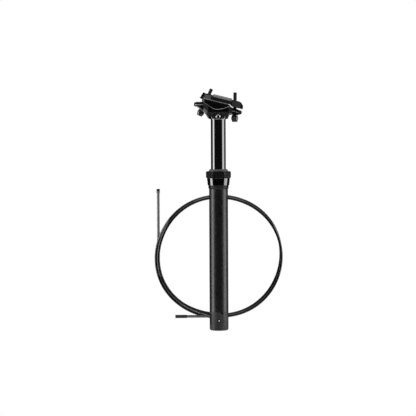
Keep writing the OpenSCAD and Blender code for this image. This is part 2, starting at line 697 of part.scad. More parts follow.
// Saddle clamp. The side outline of the cradle is a lens, deepest a little behind its middle.
module cradle_side() {
    polygon([[-21.9, cradle_top], [18.6, cradle_top], [18.6, -5.4], [17.2, -7], [10.2, -12.1],
        [4.6, -14.6], [-5.2, -14.9], [-21, -9], [-22.3, -7.4]]);
    intersection() {
        translate([-0.6, -8.2]) circle(r = 7.7);
        translate([-9, -17]) square([18, 9]);
    }
}
module lower_cradle() {
    color("#0e0e10") in_clamp() difference() {
        union() {
            intersection() {
                along_y(seat_r, flange_half_in + 0.2);
                translate([-seat_r, -flange_half_in - 1, -seat_r - 1])
                    cube([2 * seat_r, 2 * flange_half_in + 2, seat_r + 1 + cradle_top]);
            }
            slab(flange_half_in, flange_half_out) cradle_side();
            slab(-flange_half_out, -flange_half_in) cradle_side();
        }
        for (s = [-1, 1]) translate([0, s * rail_y, part_z]) rotate([0, 90, 0])
            cylinder(r = rail_r, h = 60, center = true);
        // Room of the rear boss, and of the rear bolt
        translate([-30, -lip_half - 0.5, -6]) cube([30 + jaw_rear - 0.5, 2 * lip_half + 1, 6]);
        translate([-30, -bolt_r - 1.4, -20]) cube([17.6, 2 * bolt_r + 2.8, 20]);
        // Lightening holes across the middle
        for (x = [-6, 3, 11]) translate([x, 0, -9]) cylinder(r = 2.6, h = 10);
    }
}
module clamp_bar_side() {
    polygon([[-24.6, bar_rear_low], [-21.9, bar_rear_top], [jaw_rear, bar_rear_top],
        [jaw_front, bar_front_top], [30.2, bar_front_top], [33.4, bar_front_top - 0.9], [36, 0],
        [37.4, -4.4], [36.4, bar_front_low], [22.4, bar_front_low], [20.4, bar_front_low + 0.6],
        [jaw_front, jaw_bottom], [jaw_rear - 0.9, jaw_bottom], [-10, bar_rear_low + 0.4],
        [-10.6, bar_rear_low]]);
}
module upper_clamp() {
    color("#161719") in_clamp() difference() {
        union() {
            slab(-boss_half, boss_half) clamp_bar_side();
            // End lips, a little wider and taller than the bosses
            slab(-lip_half, lip_half) polygon([[-25.9, -4.6], [-23, bar_rear_top + 0.6],
                [-20.4, bar_rear_top + 0.4], [-23.3, bar_rear_low - 0.2]]);
            slab(-lip_half, lip_half) polygon([[37.8, -4.4], [36.4, 0.2], [34.9, 0.6],
                [35.2, bar_front_low - 0.2], [36.7, bar_front_low - 0.2]]);
            // Jaw block over both rails
            translate([jaw_rear, 0, 0]) rotate([90, 0, 90]) linear_extrude(height = jaw_front - jaw_rear)
                polygon([[-flange_half_out, jaw_bottom], [-flange_half_out, 1.6],
                    [-flange_half_out + 2.6, 4], [-flange_half_out + 6, jaw_top],
                    [flange_half_out - 6, jaw_top], [flange_half_out - 2.6, 4],
                    [flange_half_out, 1.6], [flange_half_out, jaw_bottom]]);
        }
        for (s = [-1, 1]) translate([0, s * rail_y, part_z]) rotate([0, 90, 0])
            cylinder(r = rail_r, h = 60, center = true);
        // Bores of the cross nuts, and the slots of the bolts
        translate([-rear_nut_x, 0, nut_drop]) along_y(nut_r + run, lip_half + 1);
        translate([front_nut_x, 0, nut_drop]) along_y(nut_r + run, lip_half + 1);
        for (turn = [0, 8]) {
            translate([-rear_nut_x, 0, nut_drop]) rotate([0, rear_lean - clamp_tilt + turn, 0])
                cylinder(r = bolt_r + 0.8, h = 24, center = true);
            translate([front_nut_x, 0, nut_drop]) rotate([0, front_lean - clamp_tilt + turn, 0])
                cylinder(r = bolt_r + 0.8, h = 24, center = true);
        }
        // Hollow in the top of the jaw block
        translate([jaw_rear + 4, -7, 2.6]) cube([jaw_front - jaw_rear - 8, 14, 4]);
    }
}
module cross_nut(at, angle) {
    translate([at[0], 0, at[1]]) rotate([0, angle, 0]) difference() {
        along_y(nut_r, boss_half - 0.4);
        cylinder(r = bolt_r + thread_gap, h = 4 * nut_r, center = true);
    }
}
module rear_nut() {
    color("#55585c") cross_nut(rear_nut_at, rear_lean);
}
module front_nut() {
    color("#55585c") cross_nut(front_nut_at, front_lean);
}

// Clamp bolt, with its origin at the centre of the dome washer: a fluted tapering head,
// a hexagon socket from below and a shank
module clamp_bolt() {
    color("#0c0c0d") difference() {
        union() {
            translate([0, 0, -bolt_head_len]) cylinder(r = bolt_r, h = bolt_head_len + bolt_len - 0.6);
            translate([0, 0, bolt_len - 0.6]) cylinder(r1 = bolt_r, r2 = bolt_r - 0.6, h = 0.6);
            rotate_extrude() polygon([[0, dome_base], [4.2, dome_base], [4.2, -0.8], [5, -2.4],
                [5, -5.2], [3.7, -bolt_head_len + 0.4], [3.3, -bolt_head_len], [0, -bolt_head_len]]);
        }
        for (a = [0:60:300]) rotate([0, 0, a + 30]) translate([5.5, 0, -bolt_head_len - 1])
            cylinder(r = 1.15, h = bolt_head_len - 0.4, $fn = 24);
        translate([0, 0, -bolt_head_len - 1]) cylinder(r = 2.3, h = 4.5, $fn = 6);
    }
}
module dome_washer() {
    color("#1a1a1c") difference() {
        sphere(r = dome_r);
        translate([0, 0, dome_base - 10]) cube(20, center = true);
        translate([0, 0, -1]) cylinder(r = bolt_r + run, h = 10);
    }
}
module rear_bolt() {
    at_bolt(rear_dome_at, rear_lean) clamp_bolt();
}
module front_bolt() {
    at_bolt(front_dome_at, front_lean) clamp_bolt();
}
module rear_washer() {
    at_bolt(rear_dome_at, rear_lean) dome_washer();
}
module front_washer() {
    at_bolt(front_dome_at, front_lean) dome_washer();
}

// Gear housings and the ferrules on their ends
module housing_a_lead() {
    color("#111113") sweep(a_lead, cord_r, 12);
}
module housing_a_coil() {
    color("#111113") sweep(a_path, cord_r, 6);
}
module housing_b_lead() {
    color("#111113") sweep(b_lead, cord_r, 12);
}
module housing_b_coil() {
    color("#111113") sweep(b_path, cord_r, 6);
}
module ferrule(length) {
    color("#1b1b1d") difference() {
        cylinder(r = ferrule_r, h = length);
        translate([0, 0, length - 1.5]) cylinder(r = 0.8, h = 3);
    }
}
module ferrule_a_top() {
    translate(a_top) ferrule(ferrule_a_len);
}
module ferrule_a_end() {
    translate(a_end + [cord_d, 0, 0]) rotate([0, 90, 0]) ferrule(ferrule_end_len);
}
module ferrule_b_tip() {
    translate(b_tip) rotate([0, -90, 0]) ferrule(ferrule_b_len);
}
module ferrule_b_end() {
    translate(b_end + [cord_d, 0, 0]) rotate([0, 90, 0]) ferrule(ferrule_end_len);
}

outer_tube();
head_collar();
seal_nut();
wiper_seal();
o_ring();
foam_ring();
upper_bushing();
stanchion_tube();
lower_bushing();
guide_ring();
top_out_bumper();
keys();
head_yoke();
cross_pin();
rod_plug();
gas_rod();
piston();
gas_cylinder();
cylinder_head();
floating_piston();
valve_body();
spring_cap();
valve_spring();
valve_pin();
actuator_cap();
set_screw();
lever_pin();
actuator_lever();
cable_barrel();
cable_screw();
lower_cradle();
upper_clamp();
rear_nut();
front_nut();
rear_bolt();
front_bolt();
rear_washer();
front_washer();
housing_a_lead();
housing_a_coil();
housing_b_lead();
housing_b_coil();
ferrule_a_top();
ferrule_a_end();
ferrule_b_tip();
ferrule_b_end();
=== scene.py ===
"""Looks of the dropper seatpost: camera, materials, gear housings, fine detail, light and floor."""

import json
import math

import bmesh
import bpy
from mathutils import Matrix, Vector


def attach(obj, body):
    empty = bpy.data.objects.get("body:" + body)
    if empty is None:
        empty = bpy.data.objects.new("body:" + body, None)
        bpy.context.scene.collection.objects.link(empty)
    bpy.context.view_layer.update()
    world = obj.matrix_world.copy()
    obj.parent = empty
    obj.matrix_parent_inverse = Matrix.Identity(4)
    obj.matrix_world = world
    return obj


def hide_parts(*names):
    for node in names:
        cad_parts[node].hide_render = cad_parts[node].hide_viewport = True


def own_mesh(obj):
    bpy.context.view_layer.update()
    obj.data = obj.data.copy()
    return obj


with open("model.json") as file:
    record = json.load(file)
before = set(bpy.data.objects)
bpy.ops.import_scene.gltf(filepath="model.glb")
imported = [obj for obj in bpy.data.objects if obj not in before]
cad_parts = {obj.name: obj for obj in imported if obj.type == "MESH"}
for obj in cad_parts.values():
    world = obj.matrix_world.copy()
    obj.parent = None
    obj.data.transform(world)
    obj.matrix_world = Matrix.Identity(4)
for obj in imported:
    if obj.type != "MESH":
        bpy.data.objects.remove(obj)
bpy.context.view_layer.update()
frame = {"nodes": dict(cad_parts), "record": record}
NODES = frame["nodes"]
BODIES = frame["record"]["behaviour"]["bodies"]
BODY_OF = {node: body for body, names in BODIES.items() for node in names}
NODE_SLOT = {s["node"]: s["material_slot"] for s in frame["record"]["subparts"]}
MM = 0.001

scene = bpy.context.scene
scene.view_settings.view_transform = "Standard"


def rad(degrees):
    return math.radians(degrees)


def between(first, last, count):
    """Numbers from first to last in even steps."""
    return [first + (last - first) * i / count for i in range(count + 1)]


def circle(count):
    """Cosine and sine of each of count even turns."""
    return [(math.cos(2 * math.pi * i / count), math.sin(2 * math.pi * i / count))
            for i in range(count)]


# ---------------------------------------------------------------- camera
IMAGE_PX = 416
METRES_PER_PX = 0.001439
CAMERA_FAR = 3.0
CAMERA_PITCH = 3.3
CAMERA_ROLL = -0.27
CLIP_NEAR, CLIP_FAR = 0.05, 50
AIM = Vector((-0.01524, 0.0, -0.0276))
SENSOR = 36.0

cam_data = bpy.data.cameras.new("camera")
cam_data.sensor_width = SENSOR
cam_data.lens = SENSOR * CAMERA_FAR / (IMAGE_PX * METRES_PER_PX)
cam_data.clip_start = CLIP_NEAR
cam_data.clip_end = CLIP_FAR
camera = bpy.data.objects.new("camera", cam_data)
scene.collection.objects.link(camera)
scene.camera = camera
back = Vector((0, -math.cos(rad(CAMERA_PITCH)), math.sin(rad(CAMERA_PITCH))))
level_view = (-back).to_track_quat("-Z", "Y").to_matrix()
camera.location = AIM + back * CAMERA_FAR
camera.rotation_mode = "QUATERNION"
rolled_view = level_view @ Matrix.Rotation(rad(CAMERA_ROLL), 3, "Z")
camera.rotation_quaternion = rolled_view.to_quaternion()


# ---------------------------------------------------------------- shader nodes
def noise(tree, vector, scale, detail):
    node = tree.nodes.new("ShaderNodeTexNoise")
    node.inputs["Scale"].default_value = scale
    node.inputs["Detail"].default_value = detail
    tree.links.new(vector, node.inputs["Vector"])
    return node.outputs["Fac"]


def map_range(tree, value, low, high, to_low=0.0, to_high=1.0, curve="LINEAR"):
    node = tree.nodes.new("ShaderNodeMapRange")
    node.interpolation_type = curve
    node.inputs["From Min"].default_value = low
    node.inputs["From Max"].default_value = high
    node.inputs["To Min"].default_value = to_low
    node.inputs["To Max"].default_value = to_high
    tree.links.new(value, node.inputs["Value"])
    return node.outputs["Result"]


def combine(tree, operation, one, two):
    node = tree.nodes.new("ShaderNodeMath")
    node.operation = operation
    tree.links.new(one, node.inputs[0])
    tree.links.new(two, node.inputs[1])
    return node.outputs[0]


def mix_shaders(tree, share, one, two):
    node = tree.nodes.new("ShaderNodeMixShader")
    tree.links.new(share, node.inputs["Fac"])
    tree.links.new(one, node.inputs[1])
    tree.links.new(two, node.inputs[2])
    return node.outputs[0]


# ---------------------------------------------------------------- materials
TINT_FROM, TINT_TO, TINT_DETAIL = 0.35, 0.65, 5
SMEAR_FROM, SMEAR_TO, SMEAR_DETAIL, SMEAR_FINER = 0.3, 0.7, 4, 5
GRAIN_DETAIL = 2
LEAST_ROUGH = 0.02


def node_material(name, colour, rough, metallic=0.0, specular=0.5, coat=0.0, coat_rough=0.05,
                  coat_ior=1.5, tint=0.25, tint_scale=60.0, rough_spread=0.06, grain=0.0,
                  grain_scale=4000.0, stretch=(1, 1, 1), grain_depth=0.00002):
    """A principled material whose colour, roughness and surface vary a little over the piece."""
    m = bpy.data.materials.new(name)
    m.use_nodes = True
    tree = m.node_tree
    shader = tree.nodes["Principled BSDF"]
    shader.inputs["Metallic"].default_value = metallic
    shader.inputs["Specular IOR Level"].default_value = specular
    shader.inputs["Coat Weight"].default_value = coat
    shader.inputs["Coat Roughness"].default_value = coat_rough
    shader.inputs["Coat IOR"].default_value = coat_ior
    where = tree.nodes.new("ShaderNodeTexCoord")
    mapping = tree.nodes.new("ShaderNodeMapping")
    mapping.inputs["Scale"].default_value = stretch
    tree.links.new(where.outputs["Object"], mapping.inputs["Vector"])
    spot = mapping.outputs["Vector"]

    ramp = tree.nodes.new("ShaderNodeValToRGB")
    dark, light = ramp.color_ramp.elements
    dark.position, light.position = TINT_FROM, TINT_TO
    dark.color = (*[c * (1 - tint) for c in colour], 1)
    light.color = (*[min(1, c * (1 + tint)) for c in colour], 1)
    tree.links.new(noise(tree, spot, tint_scale, TINT_DETAIL), ramp.inputs["Fac"])
    tree.links.new(ramp.outputs["Color"], shader.inputs["Base Color"])

    smear = noise(tree, spot, tint_scale * SMEAR_FINER, SMEAR_DETAIL)
    spread = map_range(tree, smear, SMEAR_FROM, SMEAR_TO, max(LEAST_ROUGH, rough - rough_spread),
                       min(1, rough + rough_spread))
    tree.links.new(spread, shader.inputs["Roughness"])

    if grain:
        bump = tree.nodes.new("ShaderNodeBump")
        bump.inputs["Strength"].default_value = grain
        bump.inputs["Distance"].default_value = grain_depth
        tree.links.new(noise(tree, spot, grain_scale, GRAIN_DETAIL), bump.inputs["Height"])
        tree.links.new(bump.outputs["Normal"], shader.inputs["Normal"])
    return m


MAT = {
    "tube": node_material("satin_black_tube", (0.0035, 0.0035, 0.004), 0.365, specular=0.6,
                          grain=0.04, grain_scale=1500, tint_scale=40),
    "gloss": node_material("polished_black", (0.002, 0.002, 0.0022), 0.05, specular=0.6,
                           coat=1.0, coat_rough=0.03, coat_ior=1.8, rough_spread=0.02,
                           tint_scale=30),
    "collar": node_material("gloss_black_collar", (0.002, 0.002, 0.0022), 0.10, specular=0.6,
                            coat=1.0, coat_rough=0.06, coat_ior=1.6, rough_spread=0.03),
    "matte": node_material("matte_black_alloy", (0.004, 0.004, 0.0042), 0.40, specular=0.45,
                           grain=0.3, grain_scale=2500),
    "cap": node_material("blasted_dark_cap", (0.030, 0.030, 0.031), 0.5, specular=0.4,
                         grain=0.4, grain_scale=2200, grain_depth=0.00003),
    "forged": node_material("forged_black_head", (0.0025, 0.0025, 0.0027), 0.24, specular=0.4,
                            grain=0.12, grain_scale=2200),
    # A duller copy of the forged finish for the yoke's slanting sides: painted shade where they
    # would reflect the side lamps.
    "flank_shade": node_material("flank_painted_shade", (0.003, 0.003, 0.0032), 0.55, specular=0.12,
                          grain=0.3, grain_scale=1800),
    "clamp": node_material("blasted_black_clamp", (0.012, 0.012, 0.0125), 0.19, specular=0.5,
                           grain=0.05, grain_scale=2200, tint=0.35),
    # Pale grey: painted light on the rear pads and the front arch band; the upper ferrule's jacket
    # end is of it too.
    "pad": node_material("pale_grey_and_painted_light", (0.15, 0.15, 0.152), 0.42, specular=0.5,
                         grain=0.4, grain_scale=2000),
    # Mid grey: painted light on the front pads.
    "boss": node_material("front_boss_painted_light", (0.058, 0.058, 0.059), 0.46, specular=0.45,
                          grain=0.4, grain_scale=2000),
    # Rough metal for the band over the rear arch, which catches the left lamp: painted sheen.
    "flank": node_material("flank_band_painted_sheen", (0.045, 0.045, 0.046), 0.42, metallic=1.0, tint=0.3,
                           tint_scale=250),
    # Paler metal for bevels and rims: painted highlight along edges that catch the light.
    "edge": node_material("edge_painted_highlight", (0.105, 0.105, 0.108), 0.26, metallic=1.0, tint=0.35,
                          tint_scale=250),
    # Paler metal beads along the arches: painted highlight where the arches catch the light.
    "arch_painted_highlight": node_material("arch_painted_highlight", (0.24, 0.24, 0.245), 0.42, metallic=1.0, tint=0.3,
                                tint_scale=250),
    # Pale metal for thin beads and rings; on the black head they are painted highlights where its
    # edges catch the light.
    "bright_edge": node_material("pale_metal_painted_highlight", (0.42, 0.42, 0.43), 0.22, metallic=1.0,
                                 tint=0.2, tint_scale=250),
    "steel_black": node_material("black_steel", (0.003, 0.003, 0.0033), 0.16, specular=0.6,
                                 coat=0.6, coat_rough=0.1, coat_ior=1.65, rough_spread=0.03),
    "steel": node_material("bright_steel", (0.60, 0.60, 0.59), 0.22, metallic=1.0, tint=0.06,
                           grain=0.1, grain_scale=2500),
    "alloy": node_material("machined_alloy", (0.56, 0.57, 0.58), 0.30, metallic=1.0, tint=0.06,
                           grain=0.2, grain_scale=1500, stretch=(1, 1, 6)),
    "brass": node_material("machined_brass", (0.60, 0.42, 0.18), 0.28, metallic=1.0, tint=0.08),
    "rubber": node_material("seal_rubber", (0.085, 0.085, 0.087), 0.5, specular=0.45, grain=0.2),
    "bearing": node_material("bearing_plastic", (0.60, 0.58, 0.50), 0.45, tint=0.05),
    "screw_patch": node_material("white_screw_patch", (0.85, 0.85, 0.84), 0.35, tint=0.03),
    "housing": node_material("housing_jacket", (0.0025, 0.0025, 0.0027), 0.13, specular=0.7,
                             rough_spread=0.03, grain=0.05, grain_scale=900),
}
PALE_JACKET = (0.19, 0.19, 0.192, 1)


def pale_end(name, ranges):
    """The housing's jacket with a paler grey length, where both (axis, from, to) ranges are met."""
    m = node_material(name, (0.0025, 0.0025, 0.0027), 0.13, specular=0.7, rough_spread=0.03,
                      grain=0.05, grain_scale=900)
    tree = m.node_tree
    base = tree.nodes["Principled BSDF"].inputs["Base Color"]
    dark = base.links[0].from_socket
    place = tree.nodes.new("ShaderNodeTexCoord")
    split = tree.nodes.new("ShaderNodeSeparateXYZ")
    tree.links.new(place.outputs["Object"], split.inputs["Vector"])
    one, two = [map_range(tree, split.outputs[axis], low, high, curve="SMOOTHSTEP")
                for axis, low, high in ranges]
    pale = tree.nodes.new("ShaderNodeMix")
    pale.data_type = "RGBA"
    pale.inputs["B"].default_value = PALE_JACKET
    tree.links.new(combine(tree, "MULTIPLY", one, two), pale.inputs["Factor"])
    tree.links.new(dark, pale.inputs["A"])
    tree.links.new(pale.outputs["Result"], base)
    return m


HOUSING_LOOK = {
    "housing_a": pale_end("housing_a_jacket", [("Z", -0.085, -0.060), ("X", -0.070, -0.075)]),
    "housing_b": pale_end("housing_b_jacket", [("Z", -0.1850, -0.1862), ("X", -0.010, -0.016)]),
}
SLOT_LOOK = {
    "black_anodised": "tube", "gloss_black": "gloss", "matte_black": "matte",
    "black_steel": "steel_black", "bright_steel": "steel", "alloy": "alloy", "brass": "brass",
    "seal_rubber": "rubber", "bearing_plastic": "bearing", "housing_black": "housing",
}
NODE_LOOK = {
    "head_collar": "collar", "actuator_cap": "cap", "head_yoke": "forged",
    "lower_cradle": "forged", "upper_clamp": "clamp", "seal_nut": "matte", "ferrule_b_tip": "cap",
}


def look_of(node):
    return MAT[NODE_LOOK.get(node, SLOT_LOOK[NODE_SLOT[node]])]


for node_name, node_object in NODES.items():
    node_object.data.materials.clear()
    node_object.data.materials.append(look_of(node_name))

# ---------------------------------------------------------------- gear housings
# The route repeats part.scad's, in mm: loops behind the post, in layers one behind another.
CORD_D = 4.0
TUBE_R = 13.6
CORD_GAP = 0.85
LAYER_STEP = CORD_D + 0.7
LAYER_Y = [TUBE_R + CORD_GAP + CORD_D / 2 + i * LAYER_STEP for i in range(3)]
LOOP_Z = -99.0
LOOP_STEP = 3.0
# Turns where the loops begin and end, their mean radius and growth, and waves of each harmonic
A_FROM, A_TO, A_MEAN, A_GROW = 180.0, 626.0, 86.6, 3.6
B_FROM, B_TO, B_MEAN, B_GROW = 270.0, 622.0, 88.7, -2.0
A_WAVES = {1: (0.6, 0.1), 2: (1.4, 0.7), 3: (-0.2, 0.0), 4: (-0.2, 0.4)}
B_WAVES = {1: (1.2, -0.5), 2: (1.6, 0.1), 3: (0.0, -0.4), 4: (-0.2, 0.4)}
# Turns where A comes a layer forward, where B draws in and where B goes back, each with its span
A_FORWARD_FROM, A_FORWARD_SPAN = 300, 100
B_DRAWN_IN, B_DRAW_FROM, B_DRAW_SPAN = 0.8, 560, 60
B_BACK_LAYERS, B_BACK_FROM, B_BACK_SPAN = 0.7, 592, 30
A_TOP_Z, A_TOP_STEPS = -7.0, 16
B_TIP_X, B_TIP_STEPS = -46.6, 8


def smooth(t):
    t = max(0.0, min(1.0, t))
    return t * t * (3 - 2 * t)


def waves_at(a, waves):
    return sum(c * math.cos(rad(n * a)) + s * math.sin(rad(n * a)) for n, (c, s) in waves.items())


def on_loop(a, radius, depth):
    return Vector((radius * math.cos(rad(a)), depth, LOOP_Z + radius * math.sin(rad(a))))


def a_at(a):
    """Housing A: it comes a layer forward in its first turn."""
    radius = A_MEAN + A_GROW * (a - A_FROM) / 360 + waves_at(a, A_WAVES)
    forward = LAYER_STEP * smooth((a - A_FORWARD_FROM) / A_FORWARD_SPAN)
    return on_loop(a, radius, LAYER_Y[2] - forward)


def b_at(a):
    """Housing B: it draws in and goes back near its hidden end."""
    radius = (B_MEAN + B_GROW * (a - B_FROM) / 360 + waves_at(a, B_WAVES)
              - B_DRAWN_IN * smooth((a - B_DRAW_FROM) / B_DRAW_SPAN))
    back_by = B_BACK_LAYERS * LAYER_STEP * smooth((a - B_BACK_FROM) / B_BACK_SPAN)
    return on_loop(a, radius, LAYER_Y[0] + back_by)


def loop_points(at, first, last):
    return [at(a) for a in between(first, last, round((last - first) / LOOP_STEP))]


def straight(start, end, pieces):
    return [start.lerp(end, i / pieces) for i in range(1, pieces + 1)]


# Each housing starts at the end that lies behind the cap
stub = Vector((CORD_D, 0, 0))
a_loop = loop_points(a_at, A_FROM, A_TO)[::-1]
a_top = Vector((a_at(A_FROM).x, LAYER_Y[2], A_TOP_Z))
a_route = [a_loop[0] + stub] + a_loop + straight(a_loop[-1], a_top, A_TOP_STEPS)
b_loop = loop_points(b_at, B_FROM, B_TO)[::-1]
b_tip = Vector((B_TIP_X, LAYER_Y[0], b_at(B_FROM).z))
b_route = [b_loop[0] + stub] + b_loop + straight(b_loop[-1], b_tip, B_TIP_STEPS)


def housing(name, route):
    curve = bpy.data.curves.new(name, "CURVE")
    curve.dimensions = "3D"
    curve.bevel_depth = CORD_D / 2 * MM
    curve.bevel_resolution = 5
    curve.use_fill_caps = True
    spline = curve.splines.new("POLY")
    spline.points.add(len(route) - 1)
    for point, place in zip(spline.points, route):
        point.co = (*(place * MM), 1)
    spline.use_smooth = True
    piece = bpy.data.objects.new(name, curve)
    scene.collection.objects.link(piece)
    curve.materials.append(HOUSING_LOOK[name])
    return piece


housing_a = housing("housing_a", a_route)
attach(housing_a, "outer_post")
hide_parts("housing_a_lead", "housing_a_coil")
housing_b = housing("housing_b", b_route)
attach(housing_b, "outer_post")
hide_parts("housing_b_lead", "housing_b_coil")

# ---------------------------------------------------------------- dressed copies of CAD nodes
SHARP_ANGLE = 28
FLAT_ANGLE = 0.6
WELD = 1e-6
BEVEL_SEGMENTS = 2


def round_edges(piece, width):
    bevel = piece.modifiers.new("round", "BEVEL")
    bevel.width = width
    bevel.segments = BEVEL_SEGMENTS
    bevel.limit_method = "ANGLE"
    bevel.angle_limit = rad(SHARP_ANGLE)
    bevel.harden_normals = True
    return bevel


def is_flank(n):
    """Whether a normal of the yoke is that of a slanting side between block and wing."""
    return abs(n.z) < 0.6 and 0.35 < abs(n.x) < 0.95 and abs(n.y) > 0.3


def dress(node, width, edge_look=None, flank_look=None):
    """A copy of a CAD node with its sharp edges rounded, which stands for the node."""
    piece = bpy.data.objects.new(node + "_finished", NODES[node].data.copy())
    scene.collection.objects.link(piece)
    mesh = bmesh.new()
    mesh.from_mesh(piece.data)
    bmesh.ops.remove_doubles(mesh, verts=mesh.verts, dist=WELD)
    bmesh.ops.dissolve_limit(mesh, angle_limit=rad(FLAT_ANGLE), verts=mesh.verts,
                             edges=mesh.edges, use_dissolve_boundaries=False)
    mesh.to_mesh(piece.data)
    mesh.free()
    piece.data.materials.clear()
    for look in (look_of(node), edge_look, flank_look):
        if look:
            piece.data.materials.append(look)
    # The slanting sides take the duller copy: painted shade.
    if flank_look:
        for polygon in piece.data.polygons:
            if is_flank(polygon.normal):
                polygon.material_index = 2
    bevel = round_edges(piece, width)
    # Its faces take the paler edge metal, a painted highlight along the rounded edges.
    if edge_look:
        bevel.material = 1
    piece.data.shade_smooth()
    piece.data.set_sharp_from_angle(angle=rad(SHARP_ANGLE))
    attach(piece, BODY_OF[node])
    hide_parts(node)
    return piece


# Width of the rounding on each node, in metres
DRESSED = {
    "head_yoke": 0.0004, "lower_cradle": 0.0004, "upper_clamp": 0.00045, "seal_nut": 0.0003,
    "actuator_cap": 0.00018, "rear_bolt": 0.00015, "front_bolt": 0.00015,
    "rear_nut": 0.00015, "front_nut": 0.00015, "rear_washer": 0.0001, "front_washer": 0.0001,
    "ferrule_a_top": 0.0003, "ferrule_b_tip": 0.0005, "ferrule_a_end": 0.0003,
    "ferrule_b_end": 0.0003, "wiper_seal": 0.0002, "outer_tube": 0.00008,
    "stanchion_tube": 0.0002,
}
COLLAR_ROUNDING = 0.0002
# Nodes whose rounded edges take the paler edge metal, a painted highlight.
EDGE_HIGHLIGHTED = ("head_yoke", "lower_cradle", "upper_clamp", "rear_bolt", "front_bolt")
finished = {}
for node_name, bevel_width in DRESSED.items():
    finished[node_name] = dress(node_name, bevel_width,
                                edge_look=MAT["edge"] if node_name in EDGE_HIGHLIGHTED else None,
                                flank_look=MAT["flank_shade"] if node_name == "head_yoke" else None)

# ---------------------------------------------------------------- makers of finer pieces
# Places of the source's own pieces, in mm
Z_NUT, Z_CROWN, Z_TILT = 15.8, 99.7, 129.0
CLAMP_TILT = 14.0
SIDES = ((-1, "left"), (1, "right"))


def mesh_piece(name, mesh, like, looks, smooth_angle):
    """An object of a finished bmesh in mm, which rides the body of a CAD node and takes the given
    looks.
    """
    bmesh.ops.recalc_face_normals(mesh, faces=mesh.faces)
    data = bpy.data.meshes.new(name)
    mesh.transform(Matrix.Scale(MM, 4))
    mesh.to_mesh(data)
    mesh.free()
    for look in looks:
        data.materials.append(look)
    piece = bpy.data.objects.new(name, data)
    scene.collection.objects.link(piece)
    data.shade_smooth()
    data.set_sharp_from_angle(angle=rad(smooth_angle))
    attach(piece, BODY_OF[like])
    return piece


def lathe(mesh, profile, place, segments, closed=False, slot=0):
    """Turns a profile of (radius, height) about the z axis, moved by a matrix."""
    rings = []
    for radius, height in profile:
        turns = circle(segments) if radius else [(0, 0)]
        rings.append([mesh.verts.new(place @ Vector((radius * c, radius * s, height)))
                      for c, s in turns])
    pairs = list(zip(rings, rings[1:])) + ([(rings[-1], rings[0])] if closed else [])
    for low, high in pairs:
        for i in range(segments):
            j = (i + 1) % segments
            corners = [low[i % len(low)], low[j % len(low)],
                       high[j % len(high)], high[i % len(high)]]
            unique = list(dict.fromkeys(corners))
            if len(unique) > 2:
                mesh.faces.new(unique).material_index = slot


def torus_profile(radius, tube, height, count=12):
    return [(radius + tube * c, height + tube * s) for c, s in circle(count)]


def skin(mesh, rings):
    """Faces between rings of as many points each, and over both ends."""
    count = len(rings[0])
    for one, two in zip(rings, rings[1:]):
        for k in range(count):
            j = (k + 1) % count
            mesh.faces.new([one[k], one[j], two[j], two[k]])
    mesh.faces.new(rings[0])
    mesh.faces.new(rings[-1])


def rod(name, points, radius, like, look, sides=8):
    """A thin bead laid along a line, with its ends closed."""
    mesh = bmesh.new()
    rings = []
    for i, at in enumerate(points):
        ahead = (points[min(i + 1, len(points) - 1)] - points[max(i - 1, 0)]).normalized()
        turn_to = ahead.to_track_quat("Z", "Y").to_matrix()
        rings.append([mesh.verts.new(at + turn_to @ Vector((radius * c, radius * s, 0)))
                      for c, s in circle(sides)])
    skin(mesh, rings)
    return mesh_piece(name, mesh, like, [look], 60)


def in_clamp(x, y, z):
    """A point of the saddle clamp, which is tilted nose down, in the frame's millimetres."""
    c, n = math.cos(rad(CLAMP_TILT)), math.sin(rad(CLAMP_TILT))
    return Vector((x * c + z * n, y, Z_TILT - x * n + z * c))


def inset(outline, distance):
    """The outline moved inwards; it runs clockwise or anticlockwise."""
    area = sum(a[0] * b[1] - b[0] * a[1] for a, b in zip(outline, outline[1:] + outline[:1]))
    side = 1 if area > 0 else -1
    moved = []
    for i, here in enumerate(outline):
        before, after = Vector(outline[i - 1]), Vector(outline[(i + 1) % len(outline)])
        here = Vector(here)
        d1, d2 = (here - before).normalized(), (after - here).normalized()
        n1, n2 = Vector((-d1.y, d1.x)) * side, Vector((-d2.y, d2.x)) * side
        mitre = (n1 + n2).normalized()
        moved.append(here + mitre * distance / max(0.5, mitre.dot(n1)))
    return moved


def rimmed_plate(name, outline, side, base, levels, like, looks, plain=None):
    """A plate on a side face of the clamp; levels give (inset, height over the face) of each
    loop of edges, and the second and third strips are the rim, but for the plain edge."""
    mesh = bmesh.new()
    loops = []
    for distance, height in levels:
        loops.append([mesh.verts.new(in_clamp(q[0], side * (base + height), q[1]))
                      for q in inset(outline, distance)])
    for k, (outer, inner) in enumerate(zip(loops, loops[1:])):
        for i in range(len(outer)):
            j = (i + 1) % len(outer)
            face = mesh.faces.new([outer[i], outer[j], inner[j], inner[i]])
            face.material_index = 1 if 0 < k < 3 and i != plain else 0
    mesh.faces.new(loops[-1])
    mesh.faces.new(loops[0])
    return mesh_piece(name, mesh, like, looks, 12)


# ---------------------------------------------------------------- collar
# Turned in one piece: a matte rolled foot, a gloss band and the spigot inside the nut
COLLAR_BORE, COLLAR_SPIGOT, SPIGOT_TOP, FOOT_TOP = 13.13, 14.3, 21.5, 5.2
COLLAR = [(COLLAR_BORE, 0), (13.8, 0), (14.2, 0.7), (14.8, 2.45), (14.2, 4.4), (15.1, 4.9),
          (15.5, 5.3), (16.65, Z_NUT - 0.3), (16.35, Z_NUT), (COLLAR_SPIGOT, Z_NUT),
          (COLLAR_SPIGOT, SPIGOT_TOP), (COLLAR_BORE, SPIGOT_TOP)]
collar = bmesh.new()
lathe(collar, COLLAR, Matrix.Identity(4), 128, closed=True)
for face in collar.faces:
    face.material_index = 1 if face.calc_center_median().z < FOOT_TOP else 0
collar_piece = mesh_piece("head_collar_finished", collar, "head_collar",
                          [MAT["collar"], MAT["matte"]], SHARP_ANGLE)
round_edges(collar_piece, COLLAR_ROUNDING)
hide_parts("head_collar")

